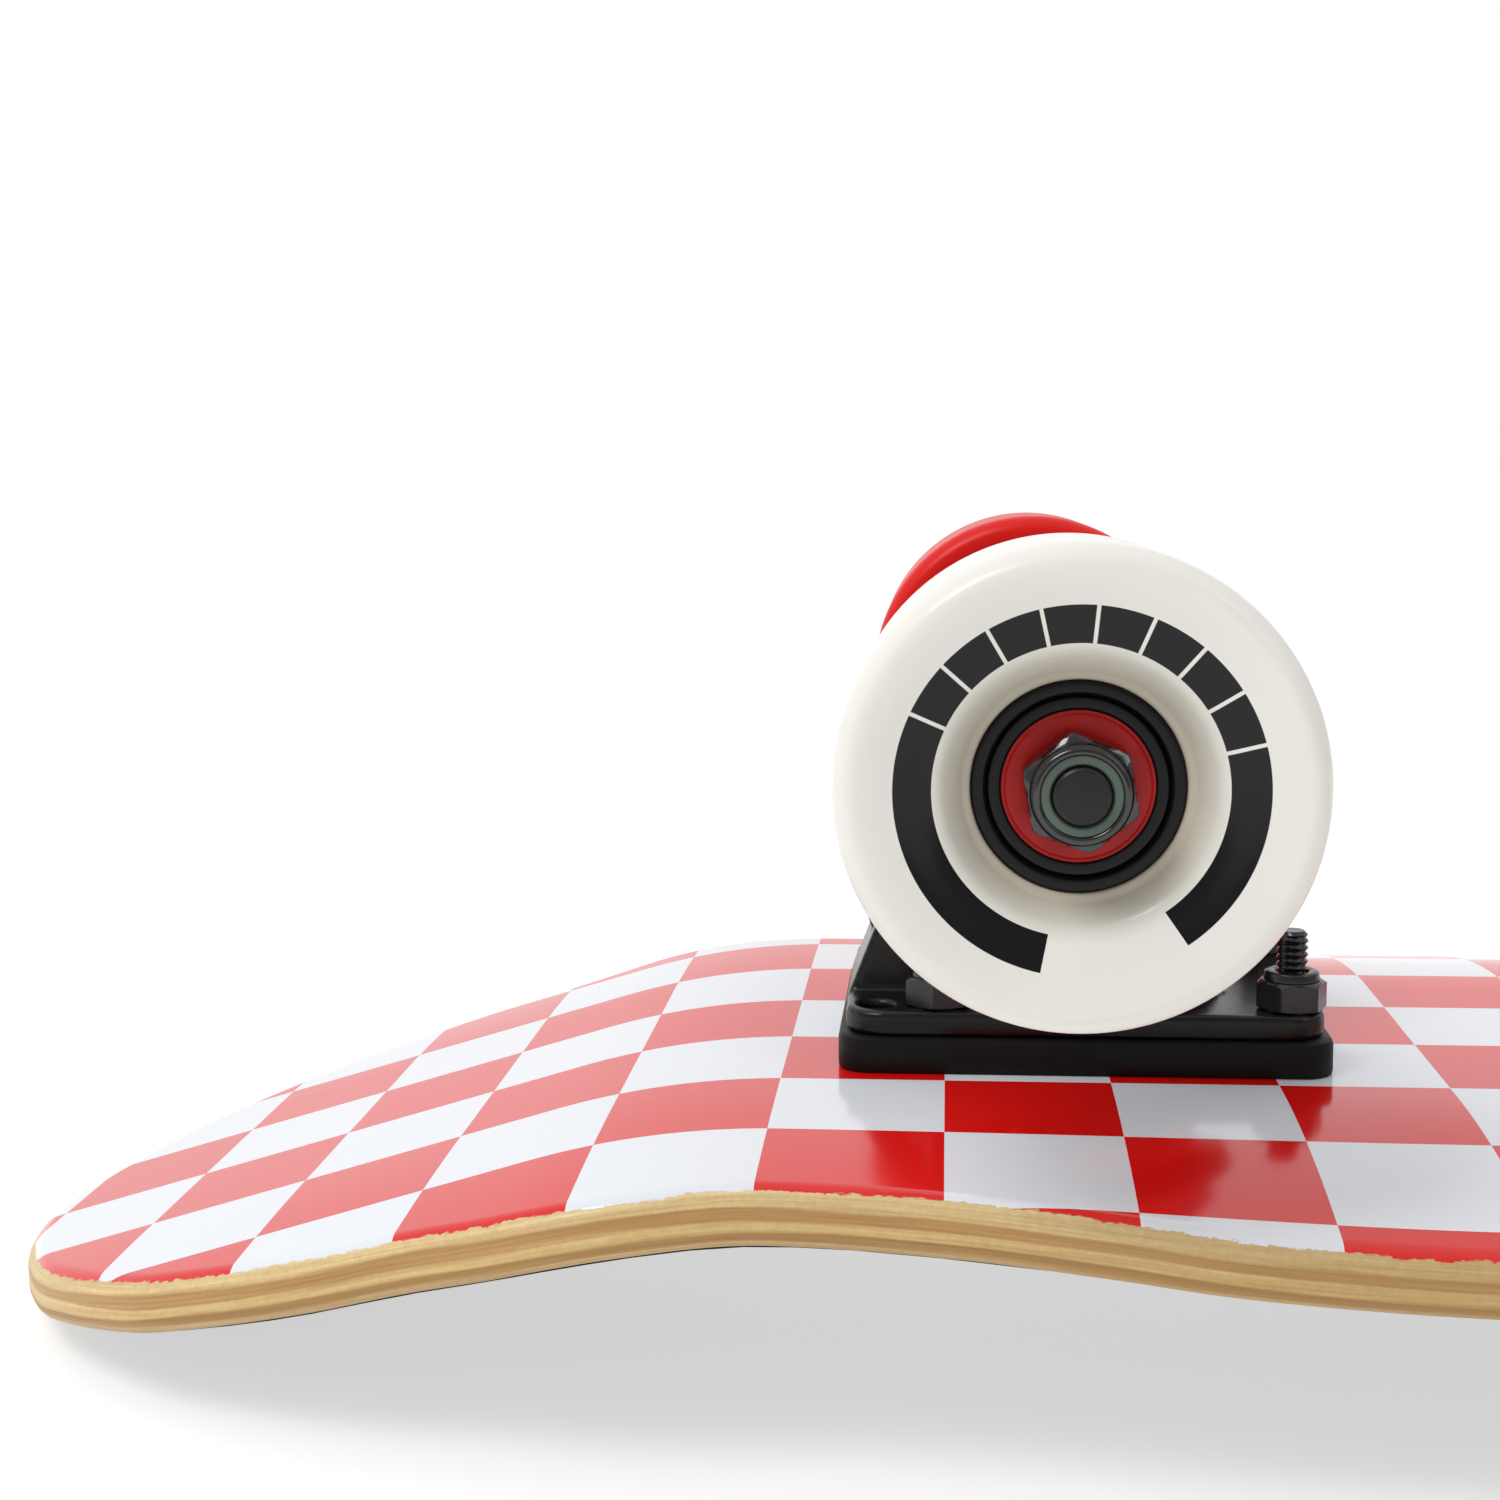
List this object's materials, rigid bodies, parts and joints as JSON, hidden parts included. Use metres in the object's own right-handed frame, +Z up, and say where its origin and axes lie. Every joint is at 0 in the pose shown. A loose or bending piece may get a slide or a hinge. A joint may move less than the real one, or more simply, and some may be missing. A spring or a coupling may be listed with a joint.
{
  "type": "cruiser skateboard",
  "caption": "Short cruiser skateboard: kicked wooden deck with grip tape, steering trucks on riser pads and soft urethane wheels on ball bearings.",
  "frame": {"origin": "on the surface that the two kicked ends lie on, in the middle of the upturned board", "axes": "the board lies upside down, as pictured: +Z up towards the wheels, +X from tail to nose, -Y the rider's left"},
  "size_m": [0.774, 0.2032, 0.1266],
  "materials": {
    "axle_nut": "black, glossy",
    "axle_steel": "machined",
    "bearing_race": "black oxide",
    "bearing_shield": "moulded seal",
    "bearing_steel": "ground and polished",
    "black_hardware": "black oxide, slight gloss",
    "bushing": "cast urethane",
    "bushing_washer": "black",
    "grip_tape": "coarse grit",
    "maple_deck": "red and white checker print under gloss lacquer on the underside, sanded maple edge",
    "nylon_insert": "nylon",
    "pivot_cup": "moulded",
    "red_urethane": "cast urethane",
    "riser": "moulded, matte",
    "truck_black": "satin black powder coat",
    "wheel_core": "smooth moulded",
    "white_urethane": "cast urethane, slightly translucent"
  },
  "bodies": {
    "board": {"deck": "maple_deck", "grip_tape": "grip_tape", "nose_baseplate": "truck_black", "nose_bushing_washers": "bushing_washer", "nose_deck_side_bushing": "bushing", "nose_kingpin": "black_hardware", "nose_kingpin_nut": "black_hardware", "nose_mounting_bolts": "black_hardware", "nose_mounting_nuts": "black_hardware", "nose_pivot_cup": "pivot_cup", "nose_riser_pad": "riser", "nose_road_side_bushing": "bushing", "tail_baseplate": "truck_black", "tail_bushing_washers": "bushing_washer", "tail_deck_side_bushing": "bushing", "tail_kingpin": "black_hardware", "tail_kingpin_nut": "black_hardware", "tail_mounting_bolts": "black_hardware", "tail_mounting_nuts": "black_hardware", "tail_pivot_cup": "pivot_cup", "tail_riser_pad": "riser", "tail_road_side_bushing": "bushing"},
    "tail_truck_hanger": {"tail_axle": "axle_steel", "tail_axle_nut_inserts": "nylon_insert", "tail_axle_nuts": "axle_nut", "tail_bearing_inner_rings": "bearing_steel", "tail_bearing_spacers": "axle_steel", "tail_hanger": "truck_black", "tail_speed_washers": "axle_steel"},
    "tail_left_wheel": {"tail_left_bearing_balls": "bearing_steel", "tail_left_bearing_outer_rings": "bearing_race", "tail_left_bearing_shields": "bearing_shield", "tail_left_core": "wheel_core", "tail_left_tyre": "white_urethane"},
    "tail_right_wheel": {"tail_right_bearing_balls": "bearing_steel", "tail_right_bearing_outer_rings": "bearing_race", "tail_right_bearing_shields": "bearing_shield", "tail_right_core": "wheel_core", "tail_right_tyre": "red_urethane"},
    "nose_truck_hanger": {"nose_axle": "axle_steel", "nose_axle_nut_inserts": "nylon_insert", "nose_axle_nuts": "axle_nut", "nose_bearing_inner_rings": "bearing_steel", "nose_bearing_spacers": "axle_steel", "nose_hanger": "truck_black", "nose_speed_washers": "axle_steel"},
    "nose_left_wheel": {"nose_left_bearing_balls": "bearing_steel", "nose_left_bearing_outer_rings": "bearing_race", "nose_left_bearing_shields": "bearing_shield", "nose_left_core": "wheel_core", "nose_left_tyre": "white_urethane"},
    "nose_right_wheel": {"nose_right_bearing_balls": "bearing_steel", "nose_right_bearing_outer_rings": "bearing_race", "nose_right_bearing_shields": "bearing_shield", "nose_right_core": "wheel_core", "nose_right_tyre": "red_urethane"}
  },
  "joints": [
    {"name": "tail_steer", "type": "hinge", "parent": "board", "child": "tail_truck_hanger", "pos_m": [-0.198, 0, 0.0777], "axis": [0.9037, 0, 0.4281], "range_deg": [-12, 12], "stiffness_Nm_per_rad": 30, "deforming": ["tail_deck_side_bushing", "tail_road_side_bushing"]},
    {"name": "tail_left_wheel_spin", "type": "hinge", "parent": "tail_truck_hanger", "child": "tail_left_wheel", "pos_m": [-0.216, 0, 0.09675], "axis": [0, 1, 0], "continuous": true},
    {"name": "tail_right_wheel_spin", "type": "hinge", "parent": "tail_truck_hanger", "child": "tail_right_wheel", "pos_m": [-0.216, 0, 0.09675], "axis": [0, 1, 0], "continuous": true},
    {"name": "nose_steer", "type": "hinge", "parent": "board", "child": "nose_truck_hanger", "pos_m": [0.198, 0, 0.0777], "axis": [-0.9037, 0, 0.4281], "range_deg": [-12, 12], "stiffness_Nm_per_rad": 30, "deforming": ["nose_deck_side_bushing", "nose_road_side_bushing"]},
    {"name": "nose_left_wheel_spin", "type": "hinge", "parent": "nose_truck_hanger", "child": "nose_left_wheel", "pos_m": [0.216, 0, 0.09675], "axis": [0, 1, 0], "continuous": true},
    {"name": "nose_right_wheel_spin", "type": "hinge", "parent": "nose_truck_hanger", "child": "nose_right_wheel", "pos_m": [0.216, 0, 0.09675], "axis": [0, 1, 0], "continuous": true}
  ]
}
